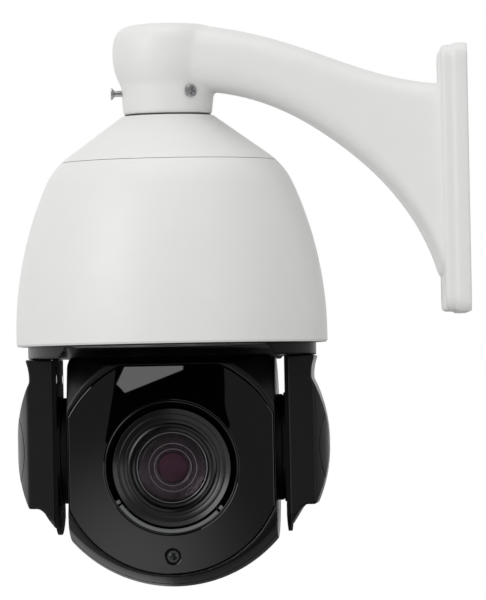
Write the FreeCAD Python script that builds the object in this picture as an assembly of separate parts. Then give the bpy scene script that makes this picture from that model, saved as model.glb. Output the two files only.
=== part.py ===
import FreeCAD, Part
import math
import os

# Pan, tilt and zoom camera on a wall bracket. Millimetres, +Z up, lens towards -Y.
# The pieces are drawn with the dome axis at X = 0 and moved by -REACH when they are
# written, so the origin is the centre of the wall plate's back face, with +X into the wall.

# --- wall bracket -----------------------------------------------------------------
REACH = 191.5            # wall face to dome axis
PLATE_W = 96.0
PLATE_H = 171.4
PLATE_BASE = 9.0         # thickness of the flange against the wall
PLATE_PAD = 7.6          # thickness of the raised pad in front of it
PAD_INSET = 1.2
PLATE_CORNER = 9.0
BASE_EDGE = 1.5
PAD_EDGE = 2.5
BOLT_SPACING_Y = 72.0
BOLT_SPACING_Z = 144.0
BOLT_HOLE_R = 3.5
BOLT_SINK_R = 7.0
BOLT_SINK = 3.0
ARM_WALL = 4.0
ARM_TOP = 103.3          # top of the arm above the plate's centre
ARM_HEAD_R = 35.0
COLLAR_R = 28.6          # collar at its mouth
COLLAR_DRAFT = 1.7       # how much wider the collar is at its root
COLLAR_H = 20.0
NECK_R = 24.0            # neck pipe that stands up into the collar
NECK_WALL = 4.5
NECK_GRIP = 24.0         # length of neck inside the collar
COLLAR_SCREW_TURN = -58.3
COLLAR_SCREWS = 3
SCREW_R = 2.0
SCREW_HEAD_R = 4.0
SCREW_HEAD = 2.6
SCREW_BACKED_OUT = 6.2   # the left collar screw stands out this far

# --- dome housing -----------------------------------------------------------------
GASKET = 0.6
CAP_TOP = 44.1           # top of the dome above the plate's centre
BELL_H = 146.8
BELL_R = 100.0
BELL_ARC = 240.0         # radius of the bell's side in section
BELL_STRAIGHT = 6.0      # height above the rim at which that radius starts
BELL_WALL = 3.0
SHOULDER_DROP = 44.8     # the shoulder starts this far below the dome's top
CONE_R = 29.5            # top of the cone
CONE_SLOPE = 54.1        # degrees from the axis
SEAM_DROP = 29.5         # parting line below the dome's top
RIM_EDGE = 1.2
FLANGE_W = 17.4            # flange that carries the cap, in from the parting line
FLANGE_T = 3.0
FLANGE_DROP = 6.5        # flange below the parting line
BOSSES = 4
BOSS_R = 5.0
BOSS_INSET = 13.0        # chassis screws inside the bell's rim
BOSS_L = 40.0
CAP_BOSS_INSET = 11.9    # cap screws inside the parting line
CAP_BOSS_R = 4.0
GASKET_W = 1.2
NECK_FLANGE = 6.0
BUNG_L = 12.0            # grommet's length inside the neck
CABLE_R = 4.5

# --- pan stage --------------------------------------------------------------------
BASE_PLATE_H = 27.0      # underside of the fixed chassis plate above the rim
SHEET = 3.0
RIM_GAP = 7.4            # turntable's rim inside the bell's rim
PAN_DISC_UP = 6.0        # how far the turntable's rim reaches up into the bell
APRON_H = 9.5            # depth of the skirt behind the head
PAN_FLOOR = 2.5
PLATE_INSET = 7.5        # chassis plate inside the bell's rim
HOUSING_WALL = 3.0
BEARING_DROP = 5.0       # bearing's underside below the chassis plate
PILLAR_PITCH = 60.0
PILLAR_R = 3.0
POST_R = 4.0
POST_X = 25.0
BRIDGE_UP = 20.0         # motor bridge above the chassis plate
BRIDGE_HALF = 16.0
BRIDGE_EDGE = 3.5
SPIGOT_R = 11.0
PAN_PAD_H = 7.6          # thickening over the yoke arms
PAN_PAD_X = 68.0
HUB_SEAT = 7.0           # turntable's boss under the hub
HUB_R = 20.0
HUB_BORE = 14.0
BALL_R = 2.5
BALL_COUNT = 14
BEARING_PITCH = 26.0
BEARING_H = 8.0
BEARING_R = 32.0
PAN_PULLEY_R = 30.0
PAN_PINION_R = 7.5
PAN_CENTRES = 52.0
BELT_W = 6.0
BELT_T = 1.3
FLANGE = 1.8
MOTOR_SIDE = 35.0
MOTOR_H = 26.0
SHAFT_R = 2.5
SLIP_R = 11.0
BOARD_R = 66.0
BOARD_T = 1.6
BOARD_H = 87.0           # board above the rim
BOARD_PARTS = [          # corner as a share of the board's radius, then the part's own size
    (-0.667, -0.303, 24.0, 30.0, 12.0), (0.303, -0.212, 26.0, 28.0, 9.0), (-0.182, 0.333, 24.0, 24.0, 3.0),
    (-0.242, -0.758, 18.0, 14.0, 10.0), (0.121, -0.727, 18.0, 14.0, 8.0),
]

# --- yoke arms --------------------------------------------------------------------
HEAD_TURN = -2.5         # degrees by which the yoke and head stand turned at rest
TILT_DROP = 67.1         # tilt axis below the bell's rim
DISC_GAP = 0.6           # turntable's underside below the rim
ARM_IN = 72.9            # inner face of each arm from the dome axis
ARM_OUT = 92.6           # outer face at the top
ARM_NECK = 90.2          # outer face at the narrow neck
NECK_UP = 44.0           # neck above the tilt axis
ARM_DEEP = 32.5          # half the depth of an arm, front to back
ARM_SKIN = 2.2
BULGE_RISE = 10.1        # crown of the round bulge beyond the neck
BULGE_LIFT = 2.0         # crown above the tilt axis
BULGE_CROWN = 8.6        # how much lower the bulge is at the arm's front edge
BULGE_FOOT = 36.6        # lower corner of the bulge below the tilt axis
FOOT_OUT = 1.2           # lower corner of the bulge beyond the neck
SHELF = 5.6              # flat under that corner
TIP_BEND = 4.6           # round between the flat and the slope to the tip
ARM_TIP = 54.0           # lower tip below the tilt axis
COVER_T = 2.2
COVER_BOSS_R = 35.0
COVER_BOSS = 1.8
CAP_RIM_R = 27.0
CAP_T = 2.0
COVER_SCREW_R = 1.5
COVER_HEAD_R = 2.8
COVER_HEAD = 1.2
COVER_SCREW_L = 9.0
TILT_SHAFT_R = 6.0
TILT_BEARING_R = 11.0
TILT_PULLEY_R = 20.0
TILT_PINION_R = 6.0
TILT_MOTOR_R = 10.0
TILT_MOTOR_L = 24.0

# --- camera head ------------------------------------------------------------------
HEAD_R = 88.4
HEAD_HALF = 66.5         # half the width across the flats
HEAD_BACK = 60.5
HEAD_TOP = 60.0
HEAD_WALL = 2.5
FACE_Y = 35.0            # face in front of the tilt axis
FACE_R = 72.0
FACE_DROP = 7.8          # face circle's centre below the tilt axis
FACE_TOP = 54.7          # flat on top of the face above the tilt axis
FACE_BROW_R = 74.6       # flatter arc at the face's upper corners
FACE_BROW_DROP = 13.6    # centre of that arc below the tilt axis
FACE_RIM = 0.8
SPLIT_Y = 20.0           # parting line of the two head shells, in front of the axis
HUB_DISC_R = 34.0
HUB_NECK_R = 22.0
HUB_FLANGE_R = 25.0
WINDOW_T = 3.0
SEAL_T = 1.0
LEDGE = 4.0
LENS_DROP = 11.7         # lens axis below the tilt axis
LENS_RING_R = 43.0
LENS_RING_IN = 38.4
BARREL_R = 38.0
BARREL_STEP_R = 27.7
GLASS_R = 22.0
GLASS_T = 6.0
CELL_BORE = 18.0
IRIS_R = 12.3
LED_PITCH = 54.0
LED_R = 5.0
LED_COUNT = 10
LED_BACK = 3.9           # LED board behind the window's seal
LED_BORDER = 2.5
SENSOR_DROP = 68.3       # light sensor below the tilt axis
SENSOR_R = 5.0
CAMERA_W = 50.0
CAMERA_H = 52.0
CAMERA_L = 34.0
FILTER_T = 1.0
FILTER_W = 12.0
FILTER_TRAVEL = 13.0
CELL_L = 8.0
ZOOM_TRAVEL = 12.0
FOCUS_TRAVEL = 4.0
CELL_GAP = 0.5           # between the moving cells at the ends of their travel

# --- clearances -------------------------------------------------------------------
FIT = 0.1                # pieces that are assembled into each other
RUN = 0.05               # shaft in a bearing
SEAM = 0.3               # between moulded covers
BELT_GAP = 0.15

# --- heights that follow from the sizes above -------------------------------------
RIM_Z = CAP_TOP - BELL_H
SEAM_Z = CAP_TOP - SEAM_DROP
BASE_Z = RIM_Z + BASE_PLATE_H
TILT_Z = RIM_Z - TILT_DROP
DISC_Z = RIM_Z - DISC_GAP
ARM_TOP_Z = DISC_Z - PAN_PAD_H
FLOOR_Z = DISC_Z + PAN_FLOOR
LENS_Z = TILT_Z - LENS_DROP
PLATE_T = PLATE_BASE + PLATE_PAD
PLATE_X = REACH - PLATE_T
COLLAR_Z = CAP_TOP + GASKET
SCREW_Z = COLLAR_Z + 0.72 * COLLAR_H
FLANGE_Z = SEAM_Z - FLANGE_DROP
BOSS_PITCH = BELL_R - BOSS_INSET
PLATE_R = BELL_R - PLATE_INSET
PAN_DISC_R = BELL_R - RIM_GAP
BEARING_Z = BASE_Z - BEARING_DROP
BRIDGE_Z = BASE_Z + SHEET + BRIDGE_UP
PULLEY_Z = BASE_Z + SHEET + 6.5
PULLEY_TOP = PULLEY_Z + BELT_W
HUB_TOP = PULLEY_TOP + 3.0
ARM_BULGE = ARM_NECK + BULGE_RISE
TILT_MOTOR_Z = FLOOR_Z + TILT_MOTOR_R + SEAM
PULLEY_X = ARM_IN + COVER_T + 3.0
BELT_SLOT = TILT_PINION_R + BELT_T + 0.3 * (TILT_PULLEY_R - TILT_PINION_R) + 2.0
BARREL_Y = -FACE_Y + 3.0
GLASS_Y = BARREL_Y + 5.0
CELL_Y = GLASS_Y + GLASS_T + 2.0
BARREL_BACK = CELL_Y + 2 * CELL_L + ZOOM_TRAVEL + FOCUS_TRAVEL + 2 * CELL_GAP + 2.0
CAMERA_BACK = BARREL_BACK + CAMERA_L
FILTER_Y = BARREL_BACK + 3.0
LED_Y = -FACE_Y + WINDOW_T + SEAL_T + LED_BACK
PINION_AT = (0.0, PAN_CENTRES)
TILT_AT = (0.0, TILT_Z)
TILT_PINION_AT = (0.0, TILT_MOTOR_Z)
COVER_SCREW_AT = [
    (side * (ARM_DEEP - inset), TILT_Z + z) for inset, z in ((7.0, 46.0), (4.5, -27.0)) for side in (-1, 1)
]


def vec(x, y, z):
    return FreeCAD.Vector(x, y, z)


ALONG = {"x": vec(1, 0, 0), "y": vec(0, 1, 0), "z": vec(0, 0, 1)}


def box(x0, x1, y0, y1, z0, z1):
    """Block between two corners."""
    return Part.makeBox(x1 - x0, y1 - y0, z1 - z0, vec(x0, y0, z0))


def rod(axis, r, start, end, at=(0.0, 0.0)):
    """Cylinder along an axis; at holds the two other coordinates of its centre line."""
    u, v = at
    base = {"x": vec(start, u, v), "y": vec(u, start, v), "z": vec(u, v, start)}[axis]
    return Part.makeCylinder(r, end - start, base, ALONG[axis])


def tube(axis, r_out, r_in, start, end, at=(0.0, 0.0)):
    """Cylinder with a bore right through it."""
    return rod(axis, r_out, start, end, at).cut(rod(axis, r_in, start - 1, end + 1, at))


def turned(axis, outline, at=(0.0, 0.0)):
    """Solid turned about an axis from (radius, place along the axis) points."""
    u, v = at
    place = {
        "x": lambda r, s: vec(s, u, v + r),
        "y": lambda r, s: vec(u + r, s, v),
        "z": lambda r, s: vec(u + r, v, s),
    }[axis]
    points = [place(r, s) for r, s in outline]
    face = Part.Face(Part.makePolygon(points + points[:1]))
    return face.revolve(place(0, 0), ALONG[axis], 360)


def fused(shapes):
    """One solid from several that overlap."""
    return shapes[0].multiFuse(shapes[1:]).removeSplitter()


def around(count, radius, first=0.0):
    """Places evenly round a circle, as (degrees, x, y)."""
    for i in range(count):
        turn = first + 360.0 * i / count
        yield turn, radius * math.cos(math.radians(turn)), radius * math.sin(math.radians(turn))


def mirrored(shape):
    """The same piece on the other side of the dome axis."""
    return shape.mirror(vec(0, 0, 0), vec(1, 0, 0))


def belt_outline(axis, start, end, centre_a, r_a, centre_b, r_b):
    """Solid bounded by a loop round two pulleys."""
    across = (centre_b[0] - centre_a[0], centre_b[1] - centre_a[1])
    length = math.hypot(*across)
    aim = math.atan2(across[1], across[0])
    lean = math.acos((r_a - r_b) / length)
    corners = []
    rims = (
        (centre_a, r_a, (aim + lean, aim - lean)),
        (centre_b, r_b, (aim - lean, aim + lean)),
    )
    for centre, r, turns in rims:
        for turn in turns:
            corners.append((centre[0] + r * math.cos(turn), centre[1] + r * math.sin(turn)))
    place = {"x": lambda p: vec(start, p[0], p[1]), "z": lambda p: vec(p[0], p[1], start)}[axis]
    points = [place(p) for p in corners]
    web = Part.Face(Part.makePolygon(points + points[:1])).extrude(ALONG[axis] * (end - start))
    ends = [rod(axis, r_a, start, end, centre_a), rod(axis, r_b, start, end, centre_b)]
    return fused([web] + ends)


def belt(axis, start, end, centre_a, r_a, centre_b, r_b):
    """Toothed belt, drawn smooth, just clear of both pulleys."""
    out = BELT_GAP + BELT_T
    outer = belt_outline(axis, start, end, centre_a, r_a + out, centre_b, r_b + out)
    inner = belt_outline(axis, start - 1, end + 1, centre_a, r_a + BELT_GAP, centre_b, r_b + BELT_GAP)
    return outer.cut(inner)


def pulley(axis, r, bore, start, end, at=(0.0, 0.0)):
    """Belt pulley with a flange at each end; the belt runs between start and end."""
    side = 1.0
    body = rod(axis, r, start, end, at)
    flanges = [
        rod(axis, r + FLANGE, start - side, start, at),
        rod(axis, r + FLANGE, end, end + side, at),
    ]
    wheel = fused([body] + flanges)
    return wheel.cut(rod(axis, bore, start - side - 1, end + side + 1, at)) if bore else wheel


def countersunk(length):
    """Screw standing on its tip at the origin, head up, with a cross recess."""
    outline = [
        (0, 0), (SCREW_R, 0), (SCREW_R, length - SCREW_HEAD), (SCREW_HEAD_R, length - 0.8),
        (SCREW_HEAD_R, length - 0.4), (SCREW_HEAD_R - 0.5, length), (0, length),
    ]
    body = turned("z", outline)
    slot = 0.55
    reach = 2.4
    deep = 1.5
    cross = box(-reach, reach, -slot, slot, length - deep, length + 1)
    cross = cross.fuse(box(-slot, slot, -reach, reach, length - deep, length + 1))
    return body.cut(cross)


def placed(shape, at, direction, spin=0.0):
    """Shape moved so that its +Z points along a direction, turned about itself by spin."""
    copy = shape.copy()
    turn = FreeCAD.Rotation(ALONG["z"], direction) * FreeCAD.Rotation(ALONG["z"], spin)
    copy.Placement = FreeCAD.Placement(at, turn)
    return copy


# === wall bracket ==================================================================
def rounded_slab(x0, x1, half_w, half_h, corner, edge):
    """Plate on the wall with rounded corners and a soft front edge."""
    slab = box(x0, x1, -half_w, half_w, -half_h, half_h)
    upright = [e for e in slab.Edges if abs(e.tangentAt(e.FirstParameter).x) > 0.9]
    slab = slab.makeFillet(corner, upright)
    front = [e for e in slab.Edges if abs(e.CenterOfMass.x - x0) < 0.01]
    return slab.makeFillet(edge, front)


def arm_section(top, bottom, half, r):
    """Closed rounded outline that spans two points of the arm's side view."""
    high = vec(top[0], 0, top[1])
    low = vec(bottom[0], 0, bottom[1])
    up = (high - low).normalize()
    side = vec(0, 1, 0)
    edges = []
    corners = [
        (high + side * half, -side, -up), (high - side * half, -up, side),
        (low - side * half, side, up), (low + side * half, up, -side),
    ]
    spread = 1 - math.sqrt(0.5)
    for i, (corner, out_dir, in_dir) in enumerate(corners):
        following = corners[(i + 1) % 4]
        start = corner + in_dir * r
        stop = corner + out_dir * r
        middle = corner + (out_dir + in_dir) * (r * spread)
        edges.append(Part.Arc(start, middle, stop).toShape())
        edges.append(Part.LineSegment(stop, following[0] + following[2] * r).toShape())
    return Part.Wire(edges)


def arm_stations():
    """Arm in side view: top point, bottom point, half width and corner radius at each rib."""
    shares = [
        (0.00, 0.0, 0.00, 44.4, 31.0, 18.0), (0.225, 4.5, 0.185, 44.0, 31.5, 17.0),
        (0.467, 15.9, 0.383, 53.2, 32.5, 16.0), (0.72, 32.2, 0.59, 73.4, 34.5, 14.0),
        (0.875, 39.7, 0.76, 98.0, 37.5, 13.0), (0.96, 42.3, 0.885, 124.4, 40.5, 12.0),
        (1.01, 42.9, 0.99, 164.0, 44.5, 12.0),
    ]
    span = PLATE_X
    return [
        ((tx * span, ARM_TOP - td), (bx * span, ARM_TOP - bd), half, r)
        for tx, td, bx, bd, half, r in shares
    ]


def arm_solid(inset):
    """Arm between the collar's head and the plate, shrunk all round by inset."""
    wires = []
    for top, bottom, half, r in arm_stations():
        run = math.hypot(top[0] - bottom[0], top[1] - bottom[1])
        step = ((bottom[0] - top[0]) / run * inset, (bottom[1] - top[1]) / run * inset)
        high = (top[0] + step[0], top[1] + step[1])
        low = (bottom[0] - step[0], bottom[1] - step[1])
        wires.append(arm_section(high, low, half - inset, r - inset))
    return Part.makeLoft(wires, True, False)


def head_outline(inset):
    """Rounded head over the collar, turned about the dome axis."""
    r = ARM_HEAD_R - inset
    root = COLLAR_R + COLLAR_DRAFT - inset
    low = COLLAR_Z + COLLAR_H
    waist = low + 0.5 * (ARM_TOP - low)
    top = ARM_TOP - inset
    swell = vec(root + 0.8 * (r - root), 0, low + 0.5 * (waist - low))
    cap = 0.42 * r
    shoulder = vec(r, 0, waist + 0.8 * (top - waist))
    bend = Part.BezierCurve()
    bend.setPoles([vec(r, 0, waist), shoulder, vec(0.85 * r, 0, top), vec(cap, 0, top)])
    edges = [
        Part.LineSegment(vec(0, 0, low), vec(root, 0, low)).toShape(),
        Part.Arc(vec(root, 0, low), swell, vec(r, 0, waist)).toShape(),
        bend.toShape(),
        Part.LineSegment(vec(cap, 0, top), vec(0, 0, top)).toShape(),
        Part.LineSegment(vec(0, 0, top), vec(0, 0, low)).toShape(),
    ]
    return Part.Face(Part.Wire(edges)).revolve(vec(0, 0, 0), ALONG["z"], 360)


def wall_bracket():
    half_w = PLATE_W / 2
    half_h = PLATE_H / 2
    base = rounded_slab(PLATE_X + PLATE_PAD, REACH, half_w, half_h, PLATE_CORNER, BASE_EDGE)
    half_w -= PAD_INSET
    half_h -= PAD_INSET
    pad = rounded_slab(PLATE_X, REACH - PLATE_BASE / 2, half_w, half_h, PLATE_CORNER, PAD_EDGE)
    collar = turned("z", [
        (0, COLLAR_Z), (COLLAR_R, COLLAR_Z), (COLLAR_R + COLLAR_DRAFT, COLLAR_Z + COLLAR_H),
        (0, COLLAR_Z + COLLAR_H),
    ])
    body = fused([base, pad, arm_solid(0.0), head_outline(0.0), collar])
    hollow = fused([
        arm_solid(ARM_WALL), head_outline(ARM_WALL),
        rod("z", NECK_R + FIT, COLLAR_Z - 1, COLLAR_Z + COLLAR_H + ARM_WALL),
    ])
    last_top, last_bottom, last_half, last_r = arm_stations()[-1]
    lip = ARM_WALL + 1.0
    wide = last_half - lip
    mouth = box(PLATE_X - 1, REACH + 1, -wide, wide, last_bottom[1] + lip, last_top[1] - lip)
    corners = [e for e in mouth.Edges if abs(e.tangentAt(e.FirstParameter).x) > 0.9]
    mouth = mouth.makeFillet(last_r - ARM_WALL, corners)
    body = body.cut(hollow.fuse(mouth))
    for y in (-BOLT_SPACING_Y / 2, BOLT_SPACING_Y / 2):
        for z in (-BOLT_SPACING_Z / 2, BOLT_SPACING_Z / 2):
            body = body.cut(rod("x", BOLT_HOLE_R, PLATE_X - 1, REACH + 1, (y, z)))
            body = body.cut(rod("x", BOLT_SINK_R, PLATE_X - 1, PLATE_X + BOLT_SINK, (y, z)))
    for turn, x, y in around(COLLAR_SCREWS, 1.0, COLLAR_SCREW_TURN):
        out = vec(x, y, 0)
        middle = vec(0, 0, SCREW_Z)
        seat = COLLAR_R + COLLAR_DRAFT - SCREW_HEAD
        body = body.cut(Part.makeCylinder(SCREW_R + FIT, ARM_HEAD_R + 2, middle, out))
        body = body.cut(Part.makeCylinder(SCREW_HEAD_R + 0.4, ARM_HEAD_R, middle + out * seat, out))
    return body


def collar_screws():
    """Three screws that clamp the neck; the left one is backed out."""
    solids = []
    length = COLLAR_R + COLLAR_DRAFT - NECK_R - FIT
    for i, (turn, x, y) in enumerate(around(COLLAR_SCREWS, 1.0, COLLAR_SCREW_TURN)):
        lift = SCREW_BACKED_OUT if i == COLLAR_SCREWS - 1 else 0.0
        long = length + lift
        start = NECK_R + FIT
        solids.append(placed(countersunk(long), vec(x * start, y * start, SCREW_Z), vec(x, y, 0), 20.0))
    return Part.makeCompound(solids)


# === dome housing ==================================================================
def on_side(inset, turn):
    """Point on the arc of the dome's side, turn radians above its start."""
    arc = BELL_ARC - inset
    return (BELL_R - BELL_ARC + arc * math.cos(turn), RIM_Z + BELL_STRAIGHT + arc * math.sin(turn))


def shoulder_poles(inset):
    """Poles of the curve that joins the dome's side to its cone, and the cone's top."""
    high = math.asin((BELL_H - SHOULDER_DROP - BELL_STRAIGHT) / BELL_ARC)
    slope = math.radians(CONE_SLOPE)
    down = (math.sin(slope), -math.cos(slope))
    normal = (math.cos(slope), math.sin(slope))
    cone = (CONE_R - inset * normal[0], CAP_TOP - inset * normal[1])
    start = on_side(inset, high)
    rise = (-math.sin(high), math.cos(high))
    # the corner where the arc's tangent meets the cone
    det = rise[0] * -down[1] + down[0] * rise[1]
    gap = (cone[0] - start[0], cone[1] - start[1])
    reach = (gap[0] * -down[1] + down[0] * gap[1]) / det
    corner = (start[0] + rise[0] * reach, start[1] + rise[1] * reach)
    finish = (corner[0] - down[0] * reach, corner[1] - down[1] * reach)
    return start, corner, finish, cone, high


def seam_radius():
    """Outer radius of the dome at the parting line."""
    start, corner, finish, cone, high = shoulder_poles(0.0)
    if SEAM_Z > finish[1]:
        return finish[0] + (finish[0] - cone[0]) * (finish[1] - SEAM_Z) / (cone[1] - finish[1])
    low, top = 0.0, 1.0
    for step in range(40):
        t = (low + top) / 2
        r, z = ((1 - t) ** 2 * a + 2 * t * (1 - t) * b + t * t * c for a, b, c in zip(start, corner, finish))
        low, top = (t, top) if z < SEAM_Z else (low, t)
    return r


FLANGE_R = seam_radius() - FLANGE_W
CAP_BOSS_PITCH = seam_radius() - CAP_BOSS_INSET


def dome_outline(inset):
    """Half section of the dome: side arc, smooth shoulder and cone, moved inward by inset."""
    start, corner, finish, cone, high = shoulder_poles(inset)
    side = on_side(inset, 0.0)
    rim = (side[0], RIM_Z + RIM_EDGE)
    edge_r = rim[0] - RIM_EDGE if inset == 0 else rim[0]

    def spot(p):
        return vec(p[0], 0, p[1])

    shoulder = Part.BezierCurve()
    shoulder.setPoles([spot(start), spot(corner), spot(finish)])
    lines = [(0, RIM_Z), (edge_r, RIM_Z), rim, side]
    edges = [Part.LineSegment(spot(a), spot(b)).toShape() for a, b in zip(lines, lines[1:])]
    edges.append(Part.Arc(spot(side), spot(on_side(inset, high / 2)), spot(start)).toShape())
    edges.append(shoulder.toShape())
    top = [finish, cone, (0, cone[1]), (0, RIM_Z)]
    edges += [Part.LineSegment(spot(a), spot(b)).toShape() for a, b in zip(top, top[1:])]
    return Part.Face(Part.Wire(edges)).revolve(vec(0, 0, 0), ALONG["z"], 360)


def dome_shell():
    return dome_outline(0.0).cut(dome_outline(BELL_WALL))


def bell_housing():
    below = box(-BELL_R - 1, BELL_R + 1, -BELL_R - 1, BELL_R + 1, RIM_Z - 1, SEAM_Z)
    shell = dome_shell().common(below)
    inside = dome_outline(BELL_WALL / 2)
    flange = tube("z", BELL_R, FLANGE_R, FLANGE_Z, FLANGE_Z + FLANGE_T).common(inside)
    pieces = [shell, flange]
    for turn, x, y in around(BOSSES, BOSS_PITCH, 45.0):
        column = rod("z", BOSS_R, BASE_Z + SHEET, BASE_Z + SHEET + BOSS_L, (x, y))
        pieces.append(column.common(inside))
    body = fused(pieces)
    for turn, x, y in around(BOSSES, BOSS_PITCH, 45.0):
        body = body.cut(rod("z", SCREW_R + FIT, BASE_Z, BASE_Z + SHEET + 12.0, (x, y)))
    for turn, x, y in around(BOSSES, CAP_BOSS_PITCH):
        body = body.cut(rod("z", SCREW_R + FIT, FLANGE_Z - 1, FLANGE_Z + FLANGE_T + 1, (x, y)))
    return body


def dome_top_cap():
    above = box(-BELL_R, BELL_R, -BELL_R, BELL_R, SEAM_Z + SEAM, CAP_TOP + 1)
    shell = dome_shell().common(above)
    inside = dome_outline(BELL_WALL / 2)
    pieces = [shell]
    for turn, x, y in around(BOSSES, CAP_BOSS_PITCH):
        pieces.append(rod("z", CAP_BOSS_R, FLANGE_Z + FLANGE_T + FIT, CAP_TOP, (x, y)).common(inside))
    body = fused(pieces)
    body = body.cut(rod("z", NECK_R + FIT, SEAM_Z, CAP_TOP + 1))
    for turn, x, y in around(BOSSES, CAP_BOSS_PITCH):
        body = body.cut(rod("z", SCREW_R + FIT, FLANGE_Z, FLANGE_Z + FLANGE_T + 5.0, (x, y)))
    return body


def cap_screws():
    solids = []
    for turn, x, y in around(BOSSES, CAP_BOSS_PITCH):
        screw = countersunk(FLANGE_T + SCREW_HEAD + 3.5)
        top = FLANGE_Z + FLANGE_T + 3.5
        solids.append(placed(screw, vec(x, y, top), vec(0, 0, -1)))
    return Part.makeCompound(solids)


def seam_gasket():
    """Rubber ring on the bell's inner flange, under the cap's edge."""
    r = CAP_BOSS_PITCH + CAP_BOSS_R + FIT
    return tube("z", r + GASKET_W, r, FLANGE_Z + FLANGE_T, SEAM_Z)


def cone_drop(r):
    """Height of the cone's inner face at a radius."""
    slope = math.radians(CONE_SLOPE)
    return CAP_TOP - (r - CONE_R) / math.tan(slope) - BELL_WALL / math.sin(slope)


def neck_pipe():
    """Pipe that joins the dome to the bracket, with a flange under the cap."""
    flange_r = NECK_R + NECK_FLANGE
    flange_z = cone_drop(flange_r) - FIT
    pipe = rod("z", NECK_R, flange_z - SHEET, COLLAR_Z + NECK_GRIP)
    flange = rod("z", flange_r, flange_z - SHEET, flange_z)
    bore = rod("z", NECK_R - NECK_WALL, flange_z - SHEET - 1, COLLAR_Z + NECK_GRIP + 1)
    return pipe.fuse(flange).cut(bore)


def neck_gasket():
    return tube("z", COLLAR_R - 0.8, NECK_R + FIT, CAP_TOP, COLLAR_Z)


def cable_grommet():
    """Rubber bung in the neck that the cable is led through."""
    r = NECK_R - NECK_WALL
    top = COLLAR_Z + NECK_GRIP
    outline = [
        (CABLE_R, top - BUNG_L), (r - FIT, top - BUNG_L), (r - FIT, top), (r + 2, top), (r + 2, top + 2),
        (CABLE_R + 5.5, top + 2), (CABLE_R + 2.5, top + 5), (CABLE_R, top + 5),
    ]
    return turned("z", outline)


# === fixed parts inside the dome ====================================================
def base_plate():
    """Chassis plate screwed up into the bell, with the bearing's housing."""
    plate = rod("z", PLATE_R, BASE_Z, BASE_Z + SHEET)
    housing = rod("z", BEARING_R + HOUSING_WALL, BEARING_Z, BASE_Z + SHEET + 1.0)
    body = plate.fuse(housing)
    body = body.cut(rod("z", BEARING_R + FIT, BEARING_Z - 1, BEARING_Z + BEARING_H))
    body = body.cut(rod("z", BEARING_R - 2.0, BEARING_Z, BASE_Z + SHEET + 2.0))
    for turn, x, y in around(BOSSES, BOSS_PITCH, 45.0):
        body = body.cut(rod("z", SCREW_R + FIT, BASE_Z - 1, BASE_Z + SHEET + 1, (x, y)))
    return body


def base_plate_screws():
    solids = []
    for turn, x, y in around(BOSSES, BOSS_PITCH, 45.0):
        top = BASE_Z + SHEET + 8.0
        solids.append(placed(countersunk(SHEET + 8.0 + SCREW_HEAD), vec(x, y, top), vec(0, 0, -1)))
    return Part.makeCompound(solids)


def bearing_groove():
    return Part.makeTorus(BEARING_PITCH, BALL_R + 0.2, vec(0, 0, BEARING_Z + BEARING_H / 2))


def pan_bearing_outer():
    ring = tube("z", BEARING_R, BEARING_PITCH + 1.4, BEARING_Z, BEARING_Z + BEARING_H - FIT)
    return ring.cut(bearing_groove())


def pan_bearing_inner():
    ring = tube("z", BEARING_PITCH - 1.4, HUB_R + FIT, BEARING_Z, BEARING_Z + BEARING_H - FIT)
    return ring.cut(bearing_groove())


def pan_bearing_balls():
    solids = []
    for turn, x, y in around(BALL_COUNT, BEARING_PITCH):
        solids.append(Part.makeSphere(BALL_R, vec(x, y, BEARING_Z + BEARING_H / 2)))
    return Part.makeCompound(solids)


def pan_motor():
    half = MOTOR_SIDE / 2
    low = BRIDGE_Z + SHEET
    body = box(-half, half, PAN_CENTRES - half, PAN_CENTRES + half, low, low + MOTOR_H)
    upright = [e for e in body.Edges if abs(e.tangentAt(e.FirstParameter).z) > 0.9]
    body = body.makeChamfer(4.0, upright)
    spigot = rod("z", SPIGOT_R, low - SHEET, low, PINION_AT)
    return body.fuse(spigot).cut(rod("z", SHAFT_R + RUN, low - SHEET - 1, low + 10.0, PINION_AT))


def pan_motor_bracket():
    """Bridge on two posts that holds the motor over its pulley."""
    half = POST_X + POST_R + BRIDGE_EDGE
    front = PAN_CENTRES - BRIDGE_HALF
    deck = box(-half, half, front, PAN_CENTRES + BRIDGE_HALF, BRIDGE_Z, BRIDGE_Z + SHEET)
    posts = [rod("z", POST_R, BASE_Z + SHEET, BRIDGE_Z, (x, PAN_CENTRES)) for x in (-POST_X, POST_X)]
    return fused([deck] + posts).cut(rod("z", SPIGOT_R + FIT, BRIDGE_Z - 1, BRIDGE_Z + SHEET + 1, PINION_AT))


def pan_motor_pulley():
    low = BRIDGE_Z + SHEET
    wheel = pulley("z", PAN_PINION_R, 0, PULLEY_Z, PULLEY_TOP, PINION_AT)
    return wheel.fuse(rod("z", SHAFT_R, PULLEY_TOP, low + 8.0, PINION_AT))


def pan_pulley():
    return pulley("z", PAN_PULLEY_R, HUB_R + FIT, PULLEY_Z, PULLEY_TOP)


def pan_belt():
    edge = 0.4
    return belt("z", PULLEY_Z + edge, PULLEY_TOP - edge, (0.0, 0.0), PAN_PULLEY_R, PINION_AT, PAN_PINION_R)


def pan_hub():
    foot = FLOOR_Z + HUB_SEAT
    outline = [
        (HUB_BORE, foot), (BEARING_R, foot), (BEARING_R, foot + 4), (HUB_R + 2, foot + 4),
        (HUB_R + 2, BEARING_Z - FIT), (HUB_R, BEARING_Z - FIT), (HUB_R, HUB_TOP), (HUB_BORE, HUB_TOP),
    ]
    return turned("z", outline)


def slip_ring_rotor():
    outline = [
        (0, FLOOR_Z + 3), (SLIP_R, FLOOR_Z + 3), (SLIP_R, HUB_TOP), (HUB_R - 2, HUB_TOP),
        (HUB_R - 2, HUB_TOP + 2), (0, HUB_TOP + 2),
    ]
    return turned("z", outline)


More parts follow.
